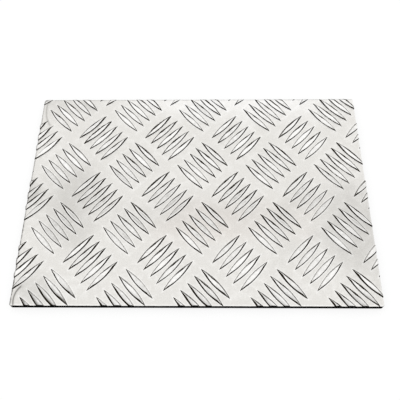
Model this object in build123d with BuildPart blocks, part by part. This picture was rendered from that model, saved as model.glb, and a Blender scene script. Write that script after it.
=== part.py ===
from build123d import *
import math
import os

# A cut piece of five-bar aluminium tread plate, lying flat with its bars up.
# The origin is the middle of the underside: X along the long edge, Y along the short one, Z up.

# Cut sheet
SHEET_LENGTH = 240.0
SHEET_WIDTH = 165.0
BASE_THICKNESS = 4.5
CORNER_RADIUS = 1.2
UNDERSIDE_BREAK = 0.3

# One raised bar: a lens in plan, with sloping flanks and a low crown that ends in a narrow flat land
BAR_LENGTH = 26.5
BAR_WIDTH = 3.8
BAR_HEIGHT = 1.5
CROWN_WIDTH = 1.8
CROWN_HEIGHT = 0.3
LAND_WIDTH = 0.4

# Five-bar pattern: groups on two square grids, the second half a pitch and a small shift off the first
BARS_IN_GROUP = 5
BAR_SPACING = 6.55
BAR_ANGLE = 47.2
GROUP_PITCH = 49.8
PATTERN_START_X = 3.65
PATTERN_START_Y = 22.45
CROSS_SHIFT_X = 0.45
CROSS_SHIFT_Y = -0.45

# Stock reaches past the cut sheet below and all round, so that the cut goes through whole bars
STOCK_MARGIN = BAR_LENGTH
OVERALL_HEIGHT = BASE_THICKNESS + BAR_HEIGHT

# The slopes of a bar, from upright, in degrees
FLANK_HEIGHT = BAR_HEIGHT - CROWN_HEIGHT
FLANK_TAPER = math.degrees(math.atan2((BAR_WIDTH - CROWN_WIDTH) / 2, FLANK_HEIGHT))
CROWN_TAPER = math.degrees(math.atan2((CROWN_WIDTH - LAND_WIDTH) / 2, CROWN_HEIGHT))


def grid_steps(side, start):
    """Whole pitches from the pattern's start that take in the sheet's side and a group past each end."""
    reach = math.ceil((side / 2 + abs(start)) / GROUP_PITCH) + 1
    return range(-reach, reach + 1)


def on_stock(x, y):
    """True where a bar centred here can reach the cut sheet."""
    near_x = abs(x) < (SHEET_LENGTH + BAR_LENGTH) / 2
    near_y = abs(y) < (SHEET_WIDTH + BAR_LENGTH) / 2
    return near_x and near_y


def bar_places(lean, start_x, start_y):
    """Places of all bars of one grid: each bar turned by lean, each group stacked the other way."""
    stack_x = BAR_SPACING * math.cos(math.radians(lean))
    stack_y = -BAR_SPACING * math.sin(math.radians(lean))
    middle = (BARS_IN_GROUP - 1) / 2
    places = []
    for column in grid_steps(SHEET_LENGTH, start_x):
        for row in grid_steps(SHEET_WIDTH, start_y):
            for bar_number in range(BARS_IN_GROUP):
                x = start_x + column * GROUP_PITCH + (bar_number - middle) * stack_x
                y = start_y + row * GROUP_PITCH + (bar_number - middle) * stack_y
                if on_stock(x, y):
                    places.append(Location((x, y, BASE_THICKNESS), (0, 0, lean)))
    return places


# One raised bar: its foot is a lens of two arcs, drawn in to the crown and again to the land
with BuildPart() as bar:
    with BuildSketch():
        with BuildLine():
            ThreePointArc((-BAR_LENGTH / 2, 0), (0, -BAR_WIDTH / 2), (BAR_LENGTH / 2, 0))
            ThreePointArc((BAR_LENGTH / 2, 0), (0, BAR_WIDTH / 2), (-BAR_LENGTH / 2, 0))
        make_face()
    extrude(amount=FLANK_HEIGHT, taper=FLANK_TAPER)
    crown_foot = bar.faces().sort_by(Axis.Z)[-1]
    extrude(crown_foot, amount=CROWN_HEIGHT, taper=CROWN_TAPER)

cross_start_x = PATTERN_START_X + GROUP_PITCH / 2 + CROSS_SHIFT_X
cross_start_y = PATTERN_START_Y + GROUP_PITCH / 2 + CROSS_SHIFT_Y
left_leaning = bar_places(-BAR_ANGLE, PATTERN_START_X, PATTERN_START_Y)
right_leaning = bar_places(BAR_ANGLE, cross_start_x, cross_start_y)

# The cut: the sheet's outline with its lower edges broken, tall enough to take in the bars
with BuildPart() as cut:
    with BuildSketch():
        RectangleRounded(SHEET_LENGTH, SHEET_WIDTH, CORNER_RADIUS)
    extrude(amount=2 * OVERALL_HEIGHT)
    underside = cut.faces().sort_by(Axis.Z)[0]
    chamfer(underside.edges(), UNDERSIDE_BREAK)

# The sheet: oversize stock with its bars, cut to size through base and bars alike
with BuildPart() as tread_plate:
    with BuildSketch(Plane.XY.offset(-STOCK_MARGIN)):
        Rectangle(SHEET_LENGTH + 2 * STOCK_MARGIN, SHEET_WIDTH + 2 * STOCK_MARGIN)
    extrude(amount=STOCK_MARGIN + BASE_THICKNESS)
    with Locations(*left_leaning, *right_leaning):
        add(bar.part)
    add(cut.part, mode=Mode.INTERSECT)

tread_plate.part.label = "tread_plate"

os.makedirs("parts", exist_ok=True)
export_step(tread_plate.part, "parts/tread_plate.step")
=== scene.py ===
import math
import random
from collections import namedtuple

import bpy
import numpy as np
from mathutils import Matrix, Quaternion, Vector
from mathutils.geometry import delaunay_2d_cdt


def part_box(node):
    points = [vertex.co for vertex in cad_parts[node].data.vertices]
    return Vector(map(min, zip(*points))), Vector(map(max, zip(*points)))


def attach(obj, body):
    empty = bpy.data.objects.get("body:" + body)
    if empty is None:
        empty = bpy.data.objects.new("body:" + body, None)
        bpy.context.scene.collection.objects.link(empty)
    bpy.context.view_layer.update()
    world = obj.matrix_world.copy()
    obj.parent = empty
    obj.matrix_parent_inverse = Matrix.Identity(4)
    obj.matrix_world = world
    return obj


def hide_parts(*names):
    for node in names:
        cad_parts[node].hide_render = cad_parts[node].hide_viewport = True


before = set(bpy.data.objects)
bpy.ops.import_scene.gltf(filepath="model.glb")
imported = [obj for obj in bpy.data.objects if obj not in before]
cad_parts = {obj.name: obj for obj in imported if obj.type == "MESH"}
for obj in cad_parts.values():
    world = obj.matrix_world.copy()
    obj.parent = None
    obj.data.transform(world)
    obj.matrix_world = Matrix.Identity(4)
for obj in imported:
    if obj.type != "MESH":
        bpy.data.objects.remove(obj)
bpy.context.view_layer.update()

# Lengths are in millimetres and angles in degrees, unless a name says otherwise; meshes are made in metres
MM = 0.001

# Sheet, from the frame: half its sides, and the base's thickness under the bars
highest_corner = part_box("tread_plate")[1]
HALF_LENGTH = highest_corner.x / MM
HALF_WIDTH = highest_corner.y / MM
BAR_HEIGHT = 1.5
BASE_TOP = highest_corner.z / MM - BAR_HEIGHT
CORNER_RADIUS = 1.2
UNDERSIDE_BREAK = 0.3

# Five-bar pattern, as in the solid
BAR_LENGTH = 26.5
BAR_WIDTH = 3.8
BARS_IN_GROUP = 5
BAR_SPACING = 6.55
BAR_ANGLE = 47.2
GROUP_PITCH = 49.8
PATTERN_START_X = 3.65
PATTERN_START_Y = 22.45
CROSS_SHIFT_X = 0.45
CROSS_SHIFT_Y = -0.45

# Section of a bar: a small hollow round at the foot, a straight flank and a wide round shoulder
FOOT_ROUND = 0.3
FLANK_SLOPE = math.radians(60)
SHOULDER_ROUND = 1.4
RIDGE_SOFTNESS = 0.25
FILLET_START = -FOOT_ROUND * math.tan(FLANK_SLOPE / 2)
FLANK_START = FILLET_START + FOOT_ROUND * math.sin(FLANK_SLOPE)
FLANK_RISE = BAR_HEIGHT - (FOOT_ROUND + SHOULDER_ROUND) * (1 - math.cos(FLANK_SLOPE))
SHOULDER_START = FLANK_START + FLANK_RISE / math.tan(FLANK_SLOPE)
SHOULDER_RUN = SHOULDER_ROUND * math.sin(FLANK_SLOPE)
SHOULDER_END = SHOULDER_START + SHOULDER_RUN

# Each side of a bar's foot is an arc through its two tips
SIDE_RADIUS = (BAR_LENGTH**2 + BAR_WIDTH**2) / (4 * BAR_WIDTH)
SIDE_CENTRE = SIDE_RADIUS - BAR_WIDTH / 2

# Rings of mesh points of a bar, by depth inside its foot outline; the first two lie on the base round it
SUPPORT_GAP = 0.15
OUTER_RING = -0.95
SUPPORT_RING = FILLET_START - SUPPORT_GAP
MID_FILLET = (FILLET_START + FLANK_START) / 2
MID_FLANK = (FLANK_START + SHOULDER_START) / 2
LOW_SHOULDER = SHOULDER_START + 0.3 * SHOULDER_RUN
HIGH_SHOULDER = SHOULDER_START + 0.6 * SHOULDER_RUN
RING_DEPTHS = (
    OUTER_RING,
    SUPPORT_RING,
    FILLET_START,
    MID_FILLET,
    FLANK_START,
    MID_FLANK,
    SHOULDER_START,
    LOW_SHOULDER,
    HIGH_SHOULDER,
    SHOULDER_END,
)
RING_SIDE_STEPS = 18

# Painted shade: a dark line along a bar's foot, from just outside it to an end inside it, by side and place
# along the bar
LINE_START = -0.1
LINE_SOFTNESS = 0.05
NEAR_END, NEAR_END_TILT, NEAR_END_TIPS = 0.225, 0.13, 0.35
FAR_MIDDLE, FAR_OUTWARD = -0.05, 0.18
FAR_END_LOW, FAR_END_HIGH, FAR_END_RISE = 0.2, 0.92, 0.5
FAR_END_LOW_TOP = 0.4
NEAR_END_MOST, FAR_END_MOST = 0.8, 0.8

# The lines close round a bar's tips: where that starts, its ramp, and how far out and in they then reach
TIP_START, TIP_RAMP = 0.74, 0.16
TIP_OUTWARD, TIP_FILL = 0.22, 0.25

# Light strip up the far flank, between the parts of the far line at the foot and on the shoulder
FLANK_STRIP_DEPTHS = (MID_FILLET, FLANK_START, MID_FLANK, SHOULDER_START)
FLANK_STRIP_LIGHT = (0.0, 1.0, 1.0, 0.0)

# How bold a bar's lines are, by its rank in its group from the top, its place on the sheet and chance
NEAR_BY_RANK = (1.25, 1.05, 0.97, 0.9, 1.0)
FAR_BY_RANK = (1.05, 1.1, 0.98, 1.0, 0.85)
FAR_LEFT_LEANING, FAR_RIGHT_LEANING = 1.0, 1.15
NEAR_BOLD, NEAR_BOLD_BY_Y, NEAR_BOLD_BY_X = 1.28, -0.3, 0.15
FAR_BOLD, FAR_BOLD_BY_Y, FAR_BOLD_BY_X = 1.65, 0.7, 0.8
FAR_BOLD_LEAST = 0.1
NEAR_CHANCE, FAR_CHANCE = 0.25, 0.35
LINE_WOBBLE = 0.3

# Bars next to the front edge: painted shade from their near foot and bolder near lines, both strongest at
# the left
FRONT_SHADE_PLACES = (0.0, 0.9, 1.9, 2.8)
FRONT_SHADE_DARK = (1.0, 0.8, 0.28, 0.0)
FRONT_SHADE_REACH = 16.0
FRONT_SHADE_RAMP = 12.0
FRONT_SHADE_X = (-88.0, -62.0)
FRONT_SHADE_STRENGTH = (1.0, 0.35)
FRONT_LINE_GAIN = (1.8, 0.0)

# Painted highlight: a light band on the base round a bar
BAND_DEPTHS = (OUTER_RING, SUPPORT_RING)
BAND_HIGHLIGHT = (0.3, 1.0)

# Tone of a bar's crown, duller in a band across the sheet
BAR_TONE, BAR_TONE_DULL, BAR_TONE_CHANCE = 0.88, 0.68, 0.25
DULL_BAND_Y, DULL_BAND_REACH = -12.0, 27.0

# Cut edges: the top edges are rolled over, with a painted highlight as a bright rim inside them, grey lines
# of painted shade along two of them and the front roll painted black as shade
EDGE_ROLL = 0.16
RIM_INSETS = (0.6, 1.2)
FRONT_RIM_HIGHLIGHT, OTHER_RIM_HIGHLIGHT = 0.8, 0.3
EDGE_LINE_WIDTH = 0.7
EDGE_LINE_FADE = 1.5
LEFT_EDGE_LINE = (1.0, 0.45)
BACK_EDGE_LINE, BACK_BAR_LINE = 0.35, 1.0
ROLL_SHADE_INSET = 0.1
EDGE_ROLL_TURNS = (0, 30, 60, 90)
EDGE_POINT_GAP = 1.0
EDGE_RAGGED = (0.3, 1.3)
CORNER_STEPS = 6

# Bars next to the back edge: the shear pressed them down, and the tips that just reach the edge get a wider
# line of painted shade
BACK_PRESS_REACH = 2.2
BACK_PRESS_LEFT = 0.25
BACK_TIP_REACH = 2.5
BACK_TIP_SHADE_OUTWARD = 0.5

# Shallow folds round the two left corners, each part of an ellipse about a point on the sheet, with painted
# shade in their creases
Fold = namedtuple("Fold", "x y reach_x reach_y first_turn last_turn dark")
FOLDS = (Fold(-109, -78.5, 9, 11, -18, 52, 0.7), Fold(-106.5, 75, 11, 20, -52, 22, 0.35))
FOLD_DEPTH = 0.12
FOLD_WIDTH = 0.5
FOLD_ROWS = (-1.3, -0.6, -0.25, 0.0, 0.25, 0.6, 1.3)
FOLD_STEPS = 18
FOLD_FADE = 12.0
CORNER_DROOP = 0.3
CORNER_DROOP_REACH = 5.0

# Plain mesh points between the bars, and how the points are joined
BASE_POINT_GAP = 6.0
BASE_POINT_CLEAR = 1.0
KEEP_ALL_TRIANGLES = 0
SAME_POINT = 1e-6
SHARP_ANGLE = math.radians(50)

# Side walls: share of the way down from the top edge, and how far the torn face is set in there
WALL_ROWS = ((0.015, 0.0), (0.3, 0.01), (0.45, 0.06), (0.7, 0.09), (0.9, 0.04), (1.0, 0.0))
WALL_TEAR = 0.9
UNDERSIDE_RIM = 0.15

RANDOM_SEED = 12
draws = random.Random(RANDOM_SEED)

Bar = namedtuple("Bar", "x y lean tone near_line far_line far_low")


# Places of the bars

def grid_steps(side, start):
    """Whole pitches from the pattern's start that take in the sheet's side and a group past each end."""
    reach = math.ceil((side / 2 + abs(start)) / GROUP_PITCH) + 1
    return range(-reach, reach + 1)


def new_bar(x, y, lean, rank):
    """A bar whose tone and lines follow from its place on the sheet, its rank and a little chance."""
    dull_band = math.exp(-(((y - DULL_BAND_Y) / DULL_BAND_REACH) ** 2))
    tone = BAR_TONE - BAR_TONE_DULL * dull_band + draws.uniform(-BAR_TONE_CHANCE, BAR_TONE_CHANCE)
    by_x = math.copysign(x / HALF_LENGTH, x * lean)
    by_y = y / HALF_WIDTH
    near_line = NEAR_BY_RANK[rank] * (NEAR_BOLD + NEAR_BOLD_BY_Y * by_y + NEAR_BOLD_BY_X * by_x)
    far_line = FAR_BY_RANK[rank] * (FAR_BOLD + FAR_BOLD_BY_Y * by_y - FAR_BOLD_BY_X * by_x)
    near_line *= 1 + draws.uniform(-NEAR_CHANCE, NEAR_CHANCE)
    far_line *= 1 + draws.uniform(-FAR_CHANCE, FAR_CHANCE)
    far_line *= FAR_RIGHT_LEANING if lean > 0 else FAR_LEFT_LEANING
    far_line = max(far_line, FAR_BOLD_LEAST)
    far_low = FAR_END_LOW_TOP if rank == 0 else FAR_END_LOW
    return Bar(x, y, lean, tone, near_line, far_line, far_low)


def bars_of_grid(lean, start_x, start_y):
    """All bars of one grid that reach the sheet: each turned by lean, each group stacked the other way."""
    stack_x = BAR_SPACING * math.cos(math.radians(lean))
    stack_y = -BAR_SPACING * math.sin(math.radians(lean))
    middle = (BARS_IN_GROUP - 1) / 2
    bars = []
    for column in grid_steps(2 * HALF_LENGTH, start_x):
        for row in grid_steps(2 * HALF_WIDTH, start_y):
            for number in range(BARS_IN_GROUP):
                x = start_x + column * GROUP_PITCH + (number - middle) * stack_x
                y = start_y + row * GROUP_PITCH + (number - middle) * stack_y
                near_x = abs(x) < HALF_LENGTH + BAR_LENGTH / 2
                near_y = abs(y) < HALF_WIDTH + BAR_LENGTH / 2
                if near_x and near_y:
                    rank = number if lean > 0 else BARS_IN_GROUP - 1 - number
                    bars.append(new_bar(x, y, lean, rank))
    return bars


def all_bars():
    cross_start_x = PATTERN_START_X + GROUP_PITCH / 2 + CROSS_SHIFT_X
    cross_start_y = PATTERN_START_Y + GROUP_PITCH / 2 + CROSS_SHIFT_Y
    left_leaning = bars_of_grid(-BAR_ANGLE, PATTERN_START_X, PATTERN_START_Y)
    right_leaning = bars_of_grid(BAR_ANGLE, cross_start_x, cross_start_y)
    return left_leaning + right_leaning


# Shape of the top face

def ease(share):
    """A share from 0 to 1, with a soft start and end."""
    share = np.clip(share, 0, 1)
    return share**2 * (3 - 2 * share)


def bar_rise(depth):
    """Height of a bar's surface above the base at a depth inside its foot outline."""
    in_fillet = np.clip(depth - FILLET_START, 0, FLANK_START - FILLET_START)
    in_flank = np.clip(depth - FLANK_START, 0, SHOULDER_START - FLANK_START)
    to_crest = SHOULDER_END - np.clip(depth, SHOULDER_START, SHOULDER_END)
    fillet = FOOT_ROUND - np.sqrt(FOOT_ROUND**2 - in_fillet**2)
    flank = in_flank * math.tan(FLANK_SLOPE)
    shoulder = np.sqrt(SHOULDER_ROUND**2 - to_crest**2) - SHOULDER_ROUND * math.cos(FLANK_SLOPE)
    return fillet + flank + shoulder


def edge_inset(x, y):
    """How far inside the sheet's outline a point is, with round corners."""
    past_x = np.abs(x) - (HALF_LENGTH - CORNER_RADIUS)
    past_y = np.abs(y) - (HALF_WIDTH - CORNER_RADIUS)
    beyond = np.hypot(np.maximum(past_x, 0), np.maximum(past_y, 0))
    return CORNER_RADIUS - beyond - np.minimum(np.maximum(past_x, past_y), 0)


def edge_roll(x, y):
    """How far the rolled-over edges bring the surface down."""
    to_edge = np.clip(EDGE_ROLL - edge_inset(x, y), 0, EDGE_ROLL)
    return EDGE_ROLL - np.sqrt(EDGE_ROLL**2 - to_edge**2)


def fold_shape(x, y):
    """How far the corner folds bring the surface down, and how dark the painted shade in their creases is.
    """
    down = np.zeros(len(x))
    dark = np.zeros(len(x))
    for fold in FOLDS:
        over_x = (fold.x - x) / fold.reach_x
        over_y = (y - fold.y) / fold.reach_y
        off_line = (np.hypot(over_x, over_y) - 1) * fold.reach_x
        turn = np.degrees(np.arctan2(over_y, over_x))
        past_end = np.maximum(np.maximum(fold.first_turn - turn, turn - fold.last_turn), 0)
        fade = np.exp(-((past_end / FOLD_FADE) ** 2))
        crease = np.exp(-((off_line / FOLD_WIDTH) ** 2)) * fade
        droop = np.clip(off_line / CORNER_DROOP_REACH, 0, 1) ** 2 * fade
        down += FOLD_DEPTH * crease + CORNER_DROOP * droop
        dark += fold.dark * crease
    return down, dark


def bar_frame(bar, x, y):
    """A point's place along and across a bar, and its depth inside the bar's foot outline."""
    turn = math.radians(bar.lean)
    along = (x - bar.x) * math.cos(turn) + (y - bar.y) * math.sin(turn)
    across = (y - bar.y) * math.cos(turn) - (x - bar.x) * math.sin(turn)
    depth = SIDE_RADIUS - np.hypot(along, np.abs(across) + SIDE_CENTRE)
    return along, across, depth


def at_tips(along):
    """From 0 along a bar to 1 at its tips."""
    return ease((2 * np.abs(along) / BAR_LENGTH - TIP_START) / TIP_RAMP)


def foot_line(bar, along, across, y):
    """Depths where a bar's dark line of painted shade starts and ends: it grows to the far tip and next to
    the front edge.
    """
    to_far_tip = math.copysign(1, bar.lean) * along / (BAR_LENGTH / 2)
    half_width = BAR_WIDTH / 2 * np.clip(1 - to_far_tip**2, 0, 1)
    near_end = NEAR_END + NEAR_END_TILT * to_far_tip + NEAR_END_TIPS * to_far_tip**2
    front_gain = np.interp(bar.x, (-HALF_LENGTH, HALF_LENGTH), FRONT_LINE_GAIN)
    near_end = bar.near_line * near_end * (1 + front_gain * next_to_front(y))
    gone = ease((to_far_tip + FAR_END_RISE) / (2 * FAR_END_RISE))
    far_end = bar.far_low + (FAR_END_HIGH - bar.far_low) * gone
    far_end = FAR_MIDDLE + bar.far_line * far_end
    near_end = np.minimum(near_end, NEAR_END_MOST * half_width)
    far_end = np.minimum(far_end, FAR_END_MOST * half_width)
    start = np.where(across < 0, LINE_START, FAR_MIDDLE - FAR_OUTWARD * bar.far_line)
    end = np.where(across < 0, near_end, far_end)
    start += at_tips(along) * (np.minimum(start, -TIP_OUTWARD) - start)
    end += at_tips(along) * (np.maximum(end, TIP_FILL) - end)
    if is_back_tip(bar):
        start = np.minimum(start, -BACK_TIP_SHADE_OUTWARD)
    return start, end


def is_back_tip(bar):
    """True for a bar that reaches the sheet only with its near tip, at the back edge."""
    tip_y = bar.y - BAR_LENGTH / 2 * abs(math.sin(math.radians(bar.lean)))
    return 0 < HALF_WIDTH - tip_y < BACK_TIP_REACH


def back_press(y):
    """Share of a bar's height that the shear left next to the back edge."""
    return BACK_PRESS_LEFT + (1 - BACK_PRESS_LEFT) * ease((HALF_WIDTH - y) / BACK_PRESS_REACH)


def next_to_front(y):
    """From 1 next to the front edge to 0 where its shade ends."""
    return np.clip((FRONT_SHADE_REACH - HALF_WIDTH - y) / FRONT_SHADE_RAMP, 0, 1)


def front_shade(bar, along, across, depth, y):
    """How dark the painted shade on a bar next to the front edge is: darkest at its near foot."""
    half_width = BAR_WIDTH / 2 * np.clip(1 - (2 * along / BAR_LENGTH) ** 2, 0, 1)
    shade = np.interp(half_width + across, FRONT_SHADE_PLACES, FRONT_SHADE_DARK) * (depth > MID_FILLET)
    strength = np.interp(bar.x, FRONT_SHADE_X, FRONT_SHADE_STRENGTH)
    return strength * shade * next_to_front(y)


def edge_paint(x, y):
    """How bright the painted highlight of the rim inside the edges is, and how dark the painted shade on the
    left, back and front edges is, raggedly.
    """
    inset = edge_inset(x, y)
    rim = np.clip((RIM_INSETS[1] - inset) / (RIM_INSETS[1] - RIM_INSETS[0]), 0, 1)
    rim *= np.where(y < RIM_INSETS[1] - HALF_WIDTH, FRONT_RIM_HIGHLIGHT, OTHER_RIM_HIGHLIGHT)
    line = np.zeros(len(x))
    at_left = x < EDGE_LINE_WIDTH - HALF_LENGTH
    line[at_left] = np.interp(y[at_left], (-HALF_WIDTH, HALF_WIDTH), LEFT_EDGE_LINE)
    line[y > HALF_WIDTH - EDGE_LINE_WIDTH] = BACK_EDGE_LINE
    ragged = np.array([draws.uniform(*EDGE_RAGGED) for _ in x])
    line *= ragged * np.clip(EDGE_LINE_FADE - inset / EDGE_LINE_WIDTH, 0, 1)
    # Painted shade: the front roll is painted black, raggedly
    cut = np.clip(ragged, 0, 1) * (inset < ROLL_SHADE_INSET) * (y < CORNER_RADIUS - HALF_WIDTH)
    return rim, line, cut


def top_face(x, y, bars):
    """Height of the top face, and per point what the material needs to paint it."""
    rise = np.zeros(len(x))
    down, fold_shade = fold_shape(x, y)
    rim, edge_shade, cut_edge_shade = edge_paint(x, y)
    # Painted shade: fold creases, edge lines, the shade on bars at the front and dark crowns at the back
    # edge
    painted_shade = np.maximum(fold_shade, edge_shade)
    past_start = np.full(len(x), OUTER_RING)
    to_end = np.full(len(x), -OUTER_RING)
    crown = np.zeros(len(x))
    far_flank = np.zeros(len(x))
    tone = np.zeros(len(x))
    reach = (BAR_LENGTH + BAR_WIDTH) / 2
    for bar in bars:
        near = np.flatnonzero((np.abs(x - bar.x) < reach) & (np.abs(y - bar.y) < reach))
        along, across, depth = bar_frame(bar, x[near], y[near])
        own = depth > OUTER_RING
        near, along, across, depth = near[own], along[own], across[own], depth[own]
        soft_across = np.sqrt(across**2 + RIDGE_SOFTNESS**2) - RIDGE_SOFTNESS
        soft_depth = SIDE_RADIUS - np.hypot(along, soft_across + SIDE_CENTRE)
        rise[near] = bar_rise(np.where(depth < FLANK_START, depth, soft_depth))
        rise[near] *= back_press(y[near])
        start, end = foot_line(bar, along, across, y[near])
        # Painted highlight: a light band on the base round the bar
        rim[near] = np.maximum(rim[near], np.interp(depth, BAND_DEPTHS, BAND_HIGHLIGHT))
        past_start[near] = depth - start
        to_end[near] = end - depth
        painted_shade[near] = np.maximum(painted_shade[near], front_shade(bar, along, across, depth, y[near]))
        crown[near] = np.clip(rise[near] / BAR_HEIGHT, 0, 1)
        far_flank[near] = np.interp(depth, FLANK_STRIP_DEPTHS, FLANK_STRIP_LIGHT) * (across > 0)
        far_flank[near] *= 1 - at_tips(along)
        at_back = y[near] > HALF_WIDTH - EDGE_LINE_WIDTH
        painted_shade[near] = np.maximum(painted_shade[near], BACK_BAR_LINE * at_back * crown[near])
        tone[near] = bar.tone
    height = BASE_TOP + rise - down - edge_roll(x, y)
    paint = {
        "past_start": past_start,
        "to_end": to_end,
        "painted_shade": painted_shade,
        "rim": rim,
        "crown": crown,
        "far_flank": far_flank,
        "bar_tone": tone,
        "cut_edge_shade": cut_edge_shade,
        "side_cut": np.zeros(len(x)),
    }
    return height, paint


# Plan of the mesh: rings of points in the bars and along the outline, joined by triangles

def bar_ring(bar, depth):
    """Points of one closed ring of a bar, from tip to tip and back."""
    radius = SIDE_RADIUS - depth
    half_turn = math.acos(SIDE_CENTRE / radius)
    turns = np.linspace(-half_turn, half_turn, RING_SIDE_STEPS + 1)[:-1]
    along = radius * np.sin(turns)
    across = radius * np.cos(turns) - SIDE_CENTRE
    along, across = np.append(along, -along), np.append(across, -across)
    turn = math.radians(bar.lean)
    x = bar.x + along * math.cos(turn) - across * math.sin(turn)
    y = bar.y + along * math.sin(turn) + across * math.cos(turn)
    return list(zip(x, y))


def outline_loop(inset):
    """Points of the sheet's outline, moved in, counter-clockwise from the end of the front edge."""
    radius = CORNER_RADIUS - inset
    centre_x = HALF_LENGTH - CORNER_RADIUS
    centre_y = HALF_WIDTH - CORNER_RADIUS
    points = []
    for corner, (side_x, side_y) in enumerate(((1, -1), (1, 1), (-1, 1), (-1, -1))):
        for step in range(CORNER_STEPS + 1):
            turn = math.radians(90 * (corner - 1 + step / CORNER_STEPS))
            x = side_x * centre_x + radius * math.cos(turn)
            y = side_y * centre_y + radius * math.sin(turn)
            points.append((x, y))
        heading = math.radians(90 * (corner + 1))
        straight = 2 * (centre_y if corner % 2 == 0 else centre_x)
        count = round(straight / EDGE_POINT_GAP)
        for step in range(1, count):
            gone = straight * step / count
            points.append((x + gone * math.cos(heading), y + gone * math.sin(heading)))
    return points


def fold_points():
    """Rows of points along the corner folds."""
    points = []
    for fold in FOLDS:
        for off_line in FOLD_ROWS:
            swell = 1 + off_line / fold.reach_x
            for turn in np.radians(np.linspace(fold.first_turn, fold.last_turn, FOLD_STEPS)):
                x = fold.x - swell * fold.reach_x * math.cos(turn)
                y = fold.y + swell * fold.reach_y * math.sin(turn)
                points.append((x, y))
    return points


def base_points():
    """A plain grid of points over the sheet."""
    columns = np.arange(-HALF_LENGTH, HALF_LENGTH, BASE_POINT_GAP) + BASE_POINT_GAP / 2
    rows = np.arange(-HALF_WIDTH, HALF_WIDTH, BASE_POINT_GAP) + BASE_POINT_GAP / 2
    return [(x, y) for x in columns for y in rows]


def clear_of_bars(points, bars):
    """Those points that lie well inside the outline and outside all bars."""
    x, y = np.array(points).T
    clear = edge_inset(x, y) > BASE_POINT_CLEAR
    for bar in bars:
        clear &= bar_frame(bar, x, y)[2] < OUTER_RING - SUPPORT_GAP
    return list(zip(x[clear], y[clear]))


def plan_points(bars):
    """Plan points and the edges that the triangles have to follow."""
    points, edges = [], []

    def add_loop(loop):
        first = len(points)
        points.extend(loop)
        edges.extend((first + i, first + (i + 1) % len(loop)) for i in range(len(loop)))
        return first

    for turn in EDGE_ROLL_TURNS:
        add_loop(outline_loop(EDGE_ROLL * (1 - math.cos(math.radians(turn)))))
    for inset in RIM_INSETS:
        add_loop(outline_loop(inset))
    for bar in bars:
        firsts = [add_loop(bar_ring(bar, depth)) for depth in RING_DEPTHS]
        for outer, inner in zip(firsts, firsts[1:]):
            edges.append((outer, inner))
            edges.append((outer + RING_SIDE_STEPS, inner + RING_SIDE_STEPS))
        edges.append((firsts[-1], firsts[-1] + RING_SIDE_STEPS))
    points.extend(clear_of_bars(fold_points() + base_points(), bars))
    return points, edges


def plan_triangles(bars):
    """Plan points x and y and the triangles that lie on the sheet."""
    points, edges = plan_points(bars)
    vectors = [Vector(point) for point in points]
    found = delaunay_2d_cdt(vectors, edges, [], KEEP_ALL_TRIANGLES, SAME_POINT)
    plan = np.array([(point.x, point.y) for point in found[0]])
    triangles = np.array(found[2])
    middle = plan[triangles].mean(axis=1)
    kept = triangles[edge_inset(middle[:, 0], middle[:, 1]) > 0]
    used, renumbered = np.unique(kept, return_inverse=True)
    return plan[used], renumbered.reshape(-1, 3)


def rim_of(triangles):
    """The triangles' outer edge as one loop of point numbers, counter-clockwise."""
    edges = set()
    for a, b, c in triangles.tolist():
        edges.update(((a, b), (b, c), (c, a)))
    after = {a: b for a, b in edges if (b, a) not in edges}
    loop = [min(after)]
    while after[loop[-1]] != loop[0]:
        loop.append(after[loop[-1]])
    return loop


# Plate: top face, torn side walls, broken lower edges and flat underside

def inward_from(rim):
    """The way in from each point of the rim, square to the outline."""
    past_x = np.maximum(np.abs(rim[:, 0]) - (HALF_LENGTH - CORNER_RADIUS), 0) * np.sign(rim[:, 0])
    past_y = np.maximum(np.abs(rim[:, 1]) - (HALF_WIDTH - CORNER_RADIUS), 0) * np.sign(rim[:, 1])
    out = np.stack([past_x, past_y], axis=1)
    return -out / np.linalg.norm(out, axis=1)[:, None]


def wall_rows(rim):
    """Rows of points from under the rim to the underside: torn face, broken edge, start of the underside."""
    inward = inward_from(rim)
    tear = 1 - WALL_TEAR * np.array([draws.random() for _ in rim])
    rows = []
    for share, set_in in WALL_ROWS:
        height = rim[:, 2] + share * (UNDERSIDE_BREAK - rim[:, 2])
        rows.append(np.column_stack([rim[:, :2] + inward * (set_in * tear)[:, None], height]))
    for set_in in (UNDERSIDE_BREAK, UNDERSIDE_BREAK + UNDERSIDE_RIM):
        rows.append(np.column_stack([rim[:, :2] + inward * set_in, np.zeros(len(rim))]))
    return rows


def wall_paint(wall, cut_count):
    """Per wall point what the material needs there: no foot lines, and cut faces painted dark as shade down
    to the underside.
    """
    return {
        "past_start": np.full(len(wall), OUTER_RING),
        "cut_edge_shade": (np.arange(len(wall)) < cut_count).astype(float),
        "side_cut": (wall[:, 1] > CORNER_RADIUS - HALF_WIDTH).astype(float),
    }


def make_plate(material):
    bars = all_bars()
    plan, triangles = plan_triangles(bars)
    height, paint = top_face(plan[:, 0], plan[:, 1], bars)
    top = np.column_stack([plan, height])
    loop = rim_of(triangles)
    rows = wall_rows(top[loop])

    points = np.vstack([top] + rows)
    faces = triangles.tolist()
    upper = loop
    for number in range(len(rows)):
        first = len(top) + number * len(loop)
        lower = list(range(first, first + len(loop)))
        for i in range(len(loop)):
            after = (i + 1) % len(loop)
            faces.append((upper[after], upper[i], lower[i], lower[after]))
        upper = lower
    faces.append(tuple(reversed(upper)))

    mesh = bpy.data.meshes.new("plate")
    mesh.from_pydata((points * MM).tolist(), [], faces)
    mesh.shade_smooth()
    mesh.set_sharp_from_angle(angle=SHARP_ANGLE)
    wall = points[len(top):]
    on_wall = wall_paint(wall, len(wall) - len(loop))
    for name, values in paint.items():
        wall_values = on_wall.get(name, np.zeros(len(wall)))
        layer = mesh.attributes.new(name, "FLOAT", "POINT")
        layer.data.foreach_set("value", np.append(values, wall_values).astype(np.float32))
    mesh.materials.append(material)

    plate = bpy.data.objects.new("plate", mesh)
    bpy.context.scene.collection.objects.link(plate)
    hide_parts("tread_plate")
    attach(plate, "root")


# Materials

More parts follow.
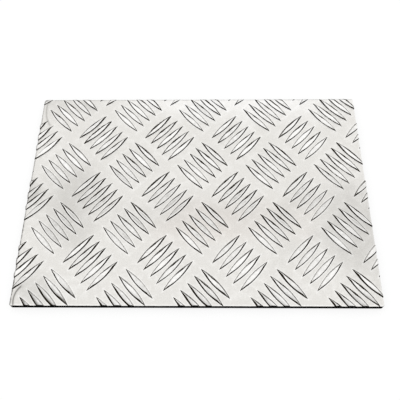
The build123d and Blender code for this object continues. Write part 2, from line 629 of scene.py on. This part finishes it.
class Shader:
    """A node tree with short calls for the few kinds of node used here."""

    # Places of the colour sockets in a Mix node, and the middle of a noise's values
    MIX_FIRST, MIX_SECOND, MIX_RESULT = 6, 7, 2
    NOISE_MIDDLE = 0.5

    def __init__(self, tree):
        self.tree = tree
        self.tree.nodes.clear()

    def node(self, kind, **settings):
        made = self.tree.nodes.new(kind)
        for name, value in settings.items():
            setattr(made, name, value)
        return made

    def feed(self, socket, value):
        if isinstance(value, bpy.types.NodeSocket):
            self.tree.links.new(value, socket)
        else:
            socket.default_value = value

    def attribute(self, name):
        return self.node("ShaderNodeAttribute", attribute_name=name).outputs["Fac"]

    def math(self, operation, first, second, clamp=False):
        made = self.node("ShaderNodeMath", operation=operation, use_clamp=clamp)
        self.feed(made.inputs[0], first)
        self.feed(made.inputs[1], second)
        return made.outputs[0]

    def mix(self, amount, first, second, blend="MIX"):
        made = self.node("ShaderNodeMix", data_type="RGBA", blend_type=blend)
        self.feed(made.inputs[0], amount)
        self.feed(made.inputs[self.MIX_FIRST], first)
        self.feed(made.inputs[self.MIX_SECOND], second)
        return made.outputs[self.MIX_RESULT]

    def spread(self, value, low, high, out_low=0.0, out_high=1.0):
        made = self.node("ShaderNodeMapRange", interpolation_type="SMOOTHSTEP")
        for socket, given in zip(made.inputs, (value, low, high, out_low, out_high)):
            self.feed(socket, given)
        return made.outputs[0]

    def noise(self, place, kind):
        made = self.node("ShaderNodeTexNoise")
        self.feed(made.inputs["Vector"], place)
        self.feed(made.inputs["Scale"], kind.scale)
        self.feed(made.inputs["Detail"], kind.detail)
        self.feed(made.inputs["Roughness"], kind.roughness)
        return made.outputs["Fac"]

    def about_zero(self, noise):
        return self.math("SUBTRACT", noise, self.NOISE_MIDDLE)

    def moved(self, place, scale, location=(0, 0, 0)):
        made = self.node("ShaderNodeMapping")
        self.feed(made.inputs["Vector"], place)
        self.feed(made.inputs["Location"], location)
        self.feed(made.inputs["Scale"], scale)
        return made.outputs["Vector"]

    def length(self, vector):
        made = self.node("ShaderNodeVectorMath", operation="LENGTH")
        self.feed(made.inputs[0], vector)
        return made.outputs["Value"]


def new_material(name):
    material = bpy.data.materials.new(name)
    material.use_nodes = True
    return material, Shader(material.node_tree)


# Colours of the metal, with the lift of the painted highlight, the painted shade of the lines and the cut
# faces painted dark as shade
BASE_METAL = (0.814, 0.798, 0.765, 1)
DULL_METAL = (0.675, 0.661, 0.631, 1)
WARM_METAL = (0.79, 0.752, 0.712, 1)
BRIGHT_METAL = (0.99, 0.98, 0.96, 1)
GREY_METAL = (0.61, 0.60, 0.575, 1)
HIGHLIGHT_LIFT = (1.21, 1.22, 1.24, 1)
PAINTED_SHADE_COLOUR = (0.024, 0.018, 0.008, 1)
FRONT_CUT_SHADE_DARK = (0.004, 0.004, 0.004, 1)
FRONT_CUT_SHADE_GREY = (0.018, 0.018, 0.018, 1)
SIDE_CUT_SHADE_DARK = (0.05, 0.049, 0.047, 1)
SIDE_CUT_SHADE_GREY = (0.2, 0.196, 0.19, 1)

# Tint of the metal's gloss at grazing angles: none in the dark lines and on the cut faces
EDGE_GLOSS = (1, 1, 1, 1)
NO_EDGE_GLOSS = (0, 0, 0, 1)

# Noises: features to a metre, or to a metre as stretched along X, Y and Z, finer layers and their strength
Noise = namedtuple("Noise", "scale detail roughness")
LINE_NOISE = Noise(260.0, 2.0, 0.5)
BLOTCHES = Noise(22.0, 3.0, 0.5)
WARM_BLOTCHES = Noise(15.0, 2.0, 0.5)
PATCH_BORDER = Noise(60.0, 3.0, 0.6)
GRAIN = Noise(900.0, 2.0, 0.5)
FLECKS = Noise(320.0, 3.0, 0.6)
STRETCHED = Noise(1.0, 3.0, 0.6)
ROLLING_STRETCH = (40, 1500, 1)
SHEAR_STRETCH = (1600, 1600, 90)

# Which noise values count, from none to all of it, and how strong each effect is
WARM_RANGE = (0.4, 0.65)
BLOTCH_RANGE, BLOTCH_DULL = (0.55, 0.8), 0.6
EVEN_RANGE = (0.3, 0.7)
GRAIN_TONES = (0.965, 1.03)
FLECK_GAIN = 1.5

# Metal of the bars, by share of their height, and a painted highlight as a bright band inside their lines,
# by distance from those
ON_BAR_RANGE = (0.3, 0.9)
INNER_HIGHLIGHT_RANGE, INNER_HIGHLIGHT = (-0.9, -0.2), 0.9

# Roughness and bump
ROUGHNESSES = (0.30, 0.40)
BAR_POLISH, LINE_ROUGHER, CUT_ROUGHER = 0.08, 0.25, 0.3
BUMP_STRENGTH, BUMP_HEIGHT, GRAIN_BUMP = 0.12, 0.1, 0.5

# Patches of the sheet: place, half sizes and strength; they fade from a core to their border
Patch = namedtuple("Patch", "x y half_x half_y strength")
PATCH_FADE = (0.2, 1.0)
BRIGHT_PATCHES = (Patch(35, 90, 130, 38, 0.75),)
WARM_PATCHES = (Patch(5, -18, 115, 30, 1.0),)
DULL_PATCHES = (
    Patch(-86, -8, 30, 46, 1.0),
    Patch(108, -28, 38, 52, 1.0),
    Patch(-104, -72, 17, 14, 0.7),
    Patch(-117, -2, 11, 14, 1.0),
    Patch(-86, 76, 11, 9, 0.8),
    Patch(0, -16, 130, 20, 0.4),
)


def over_patches(shader, place, patches):
    """How strongly patches cover the metal from place to place, with ragged borders."""
    ragged = shader.about_zero(shader.noise(place, PATCH_BORDER))
    total = 0.0
    for patch in patches:
        scale = (1 / (patch.half_x * MM), 1 / (patch.half_y * MM), 0)
        shift = (-patch.x / patch.half_x, -patch.y / patch.half_y, 0)
        off_centre = shader.length(shader.moved(place, scale, shift))
        off_centre = shader.math("ADD", off_centre, ragged)
        here = shader.spread(off_centre, *PATCH_FADE, patch.strength, 0.0)
        total = shader.math("MAXIMUM", here, total)
    return total


def mill_aluminium():
    """Rolled aluminium: dull and warm patches, bright bars with painted shade at their feet, painted
    highlights, cut faces painted dark as shade.
    """
    material, shader = new_material("mill_aluminium")
    place = shader.node("ShaderNodeTexCoord").outputs["Object"]
    rim = shader.attribute("rim")
    crown = shader.attribute("crown")
    cut_edge_shade = shader.attribute("cut_edge_shade")
    blotches = shader.noise(place, BLOTCHES)
    grain = shader.noise(place, GRAIN)
    rolling_marks = shader.noise(shader.moved(place, ROLLING_STRETCH), STRETCHED)
    shear_marks = shader.noise(shader.moved(place, SHEAR_STRETCH), STRETCHED)

    # Painted shade: dark lines at the bars' feet, with an uneven inner border, joined by the other painted
    # shade
    wobble = shader.about_zero(shader.noise(place, LINE_NOISE))
    to_end = shader.math("ADD", shader.attribute("to_end"), shader.math("MULTIPLY", wobble, LINE_WOBBLE))
    begun = shader.spread(shader.attribute("past_start"), -LINE_SOFTNESS, LINE_SOFTNESS)
    line = shader.math("MULTIPLY", begun, shader.spread(to_end, -LINE_SOFTNESS, LINE_SOFTNESS))
    line = shader.math("SUBTRACT", line, shader.attribute("far_flank"))
    painted_shade_amount = shader.math("MAXIMUM", line, shader.attribute("painted_shade"), clamp=True)

    # Base
    warmth = shader.spread(shader.noise(place, WARM_BLOTCHES), *WARM_RANGE)
    warmth = shader.math("MULTIPLY", warmth, over_patches(shader, place, WARM_PATCHES))
    dullness = shader.spread(blotches, *BLOTCH_RANGE, 0.0, BLOTCH_DULL)
    dullness = shader.math("MAXIMUM", dullness, over_patches(shader, place, DULL_PATCHES))
    colour = shader.mix(over_patches(shader, place, BRIGHT_PATCHES), BASE_METAL, BRIGHT_METAL)
    colour = shader.mix(warmth, colour, WARM_METAL)
    colour = shader.mix(dullness, colour, DULL_METAL)
    # Painted highlight: the rim inside the edges and the band round each bar are lifted
    colour = shader.mix(rim, colour, shader.mix(1.0, colour, HIGHLIGHT_LIFT, "MULTIPLY"))

    # Bars, with a painted highlight just inside their lines
    on_bar = shader.spread(crown, *ON_BAR_RANGE)
    flecks = shader.math("MULTIPLY", shader.about_zero(shader.noise(place, FLECKS)), FLECK_GAIN)
    bar_tone = shader.math("ADD", shader.attribute("bar_tone"), flecks, clamp=True)
    inner_highlight = shader.spread(to_end, *INNER_HIGHLIGHT_RANGE, 0.0, INNER_HIGHLIGHT)
    bar_tone = shader.math("MAXIMUM", bar_tone, inner_highlight)
    colour = shader.mix(on_bar, colour, shader.mix(bar_tone, GREY_METAL, BRIGHT_METAL))
    colour = shader.mix(1.0, colour, shader.spread(grain, *EVEN_RANGE, *GRAIN_TONES), "MULTIPLY")
    # Painted shade: dark lines, fold creases, edge lines and the shade on bars darken the colour
    colour = shader.mix(painted_shade_amount, colour, PAINTED_SHADE_COLOUR)

    # Cut faces painted dark as shade, near black at the front and dark grey at the sides, with marks of the
    # shear
    shear_marks = shader.spread(shear_marks, *EVEN_RANGE)
    front_cut_shade = shader.mix(shear_marks, FRONT_CUT_SHADE_DARK, FRONT_CUT_SHADE_GREY)
    side_cut = shader.mix(shear_marks, SIDE_CUT_SHADE_DARK, SIDE_CUT_SHADE_GREY)
    cut_shade_colour = shader.mix(shader.attribute("side_cut"), front_cut_shade, side_cut)
    colour = shader.mix(cut_edge_shade, colour, cut_shade_colour)

    rough = shader.spread(blotches, *EVEN_RANGE, *ROUGHNESSES)
    rough = shader.math("SUBTRACT", rough, shader.math("MULTIPLY", on_bar, BAR_POLISH))
    rough = shader.math("ADD", rough, shader.math("MULTIPLY", painted_shade_amount, LINE_ROUGHER))
    rough = shader.math("ADD", rough, shader.math("MULTIPLY", cut_edge_shade, CUT_ROUGHER), clamp=True)

    bump = shader.node("ShaderNodeBump")
    shader.feed(bump.inputs["Strength"], BUMP_STRENGTH)
    shader.feed(bump.inputs["Distance"], BUMP_HEIGHT * MM)
    marks = shader.math("ADD", rolling_marks, shader.math("MULTIPLY", grain, GRAIN_BUMP))
    shader.feed(bump.inputs["Height"], marks)

    surface = shader.node("ShaderNodeBsdfPrincipled")
    shader.feed(surface.inputs["Base Color"], colour)
    shader.feed(surface.inputs["Metallic"], 1.0)
    dark = shader.math("MAXIMUM", painted_shade_amount, cut_edge_shade)
    shader.feed(surface.inputs["Specular Tint"], shader.mix(dark, EDGE_GLOSS, NO_EDGE_GLOSS))
    shader.feed(surface.inputs["Roughness"], rough)
    shader.feed(surface.inputs["Normal"], bump.outputs["Normal"])
    output = shader.node("ShaderNodeOutputMaterial")
    shader.feed(output.inputs["Surface"], surface.outputs[0])
    return material


# Floor: what it takes of the light, and how much it is lifted where it is seen
FLOOR_COLOUR = (0.24, 0.24, 0.24, 1)
FLOOR_LIFT = 0.785


def white_floor():
    """A matt white floor that takes the sheet's shadow, lifted to white where it is seen or mirrored."""
    material, shader = new_material("floor_white")
    matt = shader.node("ShaderNodeBsdfDiffuse")
    shader.feed(matt.inputs["Color"], FLOOR_COLOUR)
    path = shader.node("ShaderNodeLightPath")
    seen = shader.math("ADD", path.outputs["Is Camera Ray"], path.outputs["Is Glossy Ray"])
    seen = shader.math("ADD", seen, path.outputs["Is Transmission Ray"], clamp=True)
    lift = shader.node("ShaderNodeEmission")
    shader.feed(lift.inputs["Strength"], shader.math("MULTIPLY", seen, FLOOR_LIFT))
    both = shader.node("ShaderNodeAddShader")
    shader.feed(both.inputs[0], matt.outputs[0])
    shader.feed(both.inputs[1], lift.outputs[0])
    output = shader.node("ShaderNodeOutputMaterial")
    shader.feed(output.inputs["Surface"], both.outputs[0])
    return material


# Studio: floor, soft light from above that falls off towards the horizon, camera
FLOOR_HALF = 3000.0
FLOOR_DROP = 0.1
SKY_TOP = 1.0
SKY_HORIZON = 0.7
SKY_RISE = 0.5
WHITE = (1, 1, 1, 1)

# Camera of the photograph
CAMERA_PLACE = Vector((8.25, -183.35, 342.0))
CAMERA_AIM = Vector((2.15, -5.95, 4.5))
CAMERA_ROLL = math.radians(-1.75)
CAMERA_LENS = 48.73
CAMERA_SENSOR = 36.0
CAMERA_CLIP = 10.0


def make_floor():
    half, level = FLOOR_HALF * MM, -FLOOR_DROP * MM
    mesh = bpy.data.meshes.new("floor")
    corners = [(-half, -half, level), (half, -half, level), (half, half, level), (-half, half, level)]
    mesh.from_pydata(corners, [], [(0, 1, 2, 3)])
    mesh.materials.append(white_floor())
    floor = bpy.data.objects.new("floor", mesh)
    bpy.context.scene.collection.objects.link(floor)


def make_sky():
    world = bpy.data.worlds.new("studio")
    world.use_nodes = True
    bpy.context.scene.world = world
    shader = Shader(world.node_tree)
    direction = shader.node("ShaderNodeTexCoord").outputs["Generated"]
    parts = shader.node("ShaderNodeSeparateXYZ")
    shader.feed(parts.inputs[0], direction)
    level = shader.spread(parts.outputs["Z"], 0.0, SKY_RISE, SKY_HORIZON, SKY_TOP)
    sky = shader.node("ShaderNodeBackground")
    shader.feed(sky.inputs["Color"], WHITE)
    shader.feed(sky.inputs["Strength"], level)
    output = shader.node("ShaderNodeOutputWorld")
    shader.feed(output.inputs["Surface"], sky.outputs[0])


def make_camera():
    camera_data = bpy.data.cameras.new("camera")
    camera_data.lens = CAMERA_LENS
    camera_data.sensor_width = CAMERA_SENSOR
    camera_data.clip_start = CAMERA_CLIP * MM
    camera = bpy.data.objects.new("camera", camera_data)
    camera.location = CAMERA_PLACE * MM
    camera.rotation_mode = "QUATERNION"
    look = (CAMERA_AIM - CAMERA_PLACE).to_track_quat("-Z", "Y")
    camera.rotation_quaternion = look @ Quaternion((0, 0, 1), CAMERA_ROLL)
    bpy.context.scene.collection.objects.link(camera)
    bpy.context.scene.camera = camera


make_plate(mill_aluminium())
make_floor()
make_sky()
make_camera()
bpy.context.scene.view_settings.view_transform = "Standard"
